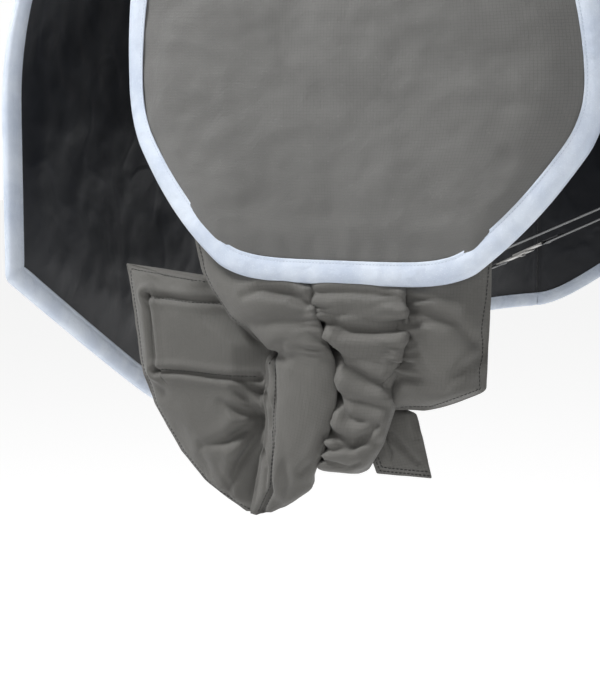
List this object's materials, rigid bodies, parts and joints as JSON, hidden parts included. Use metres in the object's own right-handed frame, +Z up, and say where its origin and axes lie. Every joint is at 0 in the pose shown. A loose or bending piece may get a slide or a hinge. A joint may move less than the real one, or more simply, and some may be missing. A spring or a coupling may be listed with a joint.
{
  "type": "padded horse rug",
  "caption": "Padded horse rug as worn, with bound edges, belly and chest straps, a shaped tail flap and a wrap-around padded tail guard under it.",
  "frame": {"origin": "middle of the flat underside of the wither pad, where the rug rests on the horse", "axes": "+Y towards the horse's head, +X the horse's right, +Z up"},
  "size_m": [0.7674, 1.7645, 0.8924],
  "materials": {
    "ripstop": "matte grey ripstop",
    "lining": "glossy dark nylon",
    "fill": "white polyester batting",
    "binding": "pale blue-silver reflective tape",
    "webbing": "woven grey webbing",
    "elastic": "black knitted elastic",
    "hook_loop": "black hook-and-loop tape",
    "fleece": "dark fleece",
    "metal": "satin nickel",
    "plastic": "black moulded"
  },
  "bodies": {
    "rug": {"side_shell_left": "ripstop", "side_fill_left": "fill", "side_lining_left": "lining", "hem_binding_left": "binding", "neck_binding_left": "binding", "side_shell_right": "ripstop", "side_fill_right": "fill", "side_lining_right": "lining", "chest_shell_right": "ripstop", "chest_fill_right": "fill", "chest_lining_right": "lining", "hem_binding_right": "binding", "neck_binding_right": "binding", "chest_binding_right": "binding", "spine_tape": "ripstop", "wither_pad": "fleece", "tail_yoke": "ripstop", "belly_tab_rear": "webbing", "belly_strap_rear": "webbing", "belly_slot_plate_rear": "metal", "belly_tab_front": "webbing", "belly_strap_front": "webbing", "belly_slot_plate_front": "metal", "chest_tab_upper": "webbing", "chest_slot_plate_upper": "metal", "chest_tab_lower": "webbing", "chest_slot_plate_lower": "metal"},
    "tail_flap": {"tail_flap_shell": "ripstop", "tail_flap_fill": "fill", "tail_flap_lining": "lining", "tail_flap_binding": "binding", "guard_header": "ripstop"},
    "tail_guard": {"guard_centre": "ripstop", "guard_rear_tab": "ripstop", "guard_elastic_left": "elastic", "guard_elastic_right": "elastic"},
    "guard_left": {"guard_left_wing": "ripstop", "guard_wrap_tab": "ripstop", "hook_patch": "hook_loop"},
    "guard_right": {"guard_right_wing": "ripstop", "loop_patch": "hook_loop"},
    "chest_front_left": {"chest_shell_left": "ripstop", "chest_fill_left": "fill", "chest_lining_left": "lining", "chest_binding_left": "binding", "chest_strap_upper": "webbing", "chest_strap_lower": "webbing"},
    "chest_hook_upper": {"chest_hook_upper": "metal"},
    "chest_hook_lower": {"chest_hook_lower": "metal"},
    "belly_hook_rear": {"belly_hook_rear": "metal"},
    "belly_hook_front": {"belly_hook_front": "metal"},
    "belly_slider_rear": {"belly_slider_rear": "plastic"},
    "belly_slider_front": {"belly_slider_front": "plastic"}
  },
  "joints": [
    {"name": "tail_flap_hinge", "type": "hinge", "parent": "rug", "child": "tail_flap", "pos_m": [0, -1.108, -0.215], "axis": [-1, 0, 0], "range_deg": [0, 95]},
    {"name": "tail_guard_hinge", "type": "hinge", "parent": "tail_flap", "child": "tail_guard", "pos_m": [0, -1.1002, -0.455], "axis": [1, 0, 0], "range_deg": [0, 50]},
    {"name": "guard_left_wing_hinge", "type": "hinge", "parent": "tail_guard", "child": "guard_left", "pos_m": [-0.0405, -1.0802, -0.6], "axis": [0, 0, -1], "range_deg": [0, 70]},
    {"name": "guard_right_wing_hinge", "type": "hinge", "parent": "tail_guard", "child": "guard_right", "pos_m": [0.047, -1.0802, -0.6], "axis": [0, 0, 1], "range_deg": [0, 70]},
    {"name": "chest_front_hinge", "type": "hinge", "parent": "rug", "child": "chest_front_left", "pos_m": [-0.27864, 0.46676, -0.5], "axis": [0, 0, 1], "range_deg": [0, 75]},
    {"name": "chest_hook_upper_pivot", "type": "hinge", "parent": "chest_front_left", "child": "chest_hook_upper", "pos_m": [0.08354, 0.62779, -0.475], "axis": [0, 0, 1], "range_deg": [0, 80]},
    {"name": "chest_hook_lower_pivot", "type": "hinge", "parent": "chest_front_left", "child": "chest_hook_lower", "pos_m": [0.08354, 0.62779, -0.575], "axis": [0, 0, 1], "range_deg": [0, 80]},
    {"name": "belly_hook_rear_pivot", "type": "hinge", "parent": "rug", "child": "belly_hook_rear", "pos_m": [-0.13887, -0.25, -0.66969], "axis": [0, 1, 0], "range_deg": [0, 75]},
    {"name": "belly_hook_front_pivot", "type": "hinge", "parent": "rug", "child": "belly_hook_front", "pos_m": [-0.13369, 0.03, -0.669], "axis": [0, 1, 0], "range_deg": [0, 75]},
    {"name": "belly_slider_rear_slide", "type": "slide", "parent": "rug", "child": "belly_slider_rear", "axis": [0.9131, 0, 0.4077], "range_m": [-0.15, 0.18]},
    {"name": "belly_slider_front_slide", "type": "slide", "parent": "rug", "child": "belly_slider_front", "axis": [0.9089, 0, 0.4169], "range_m": [-0.15, 0.18]}
  ]
}
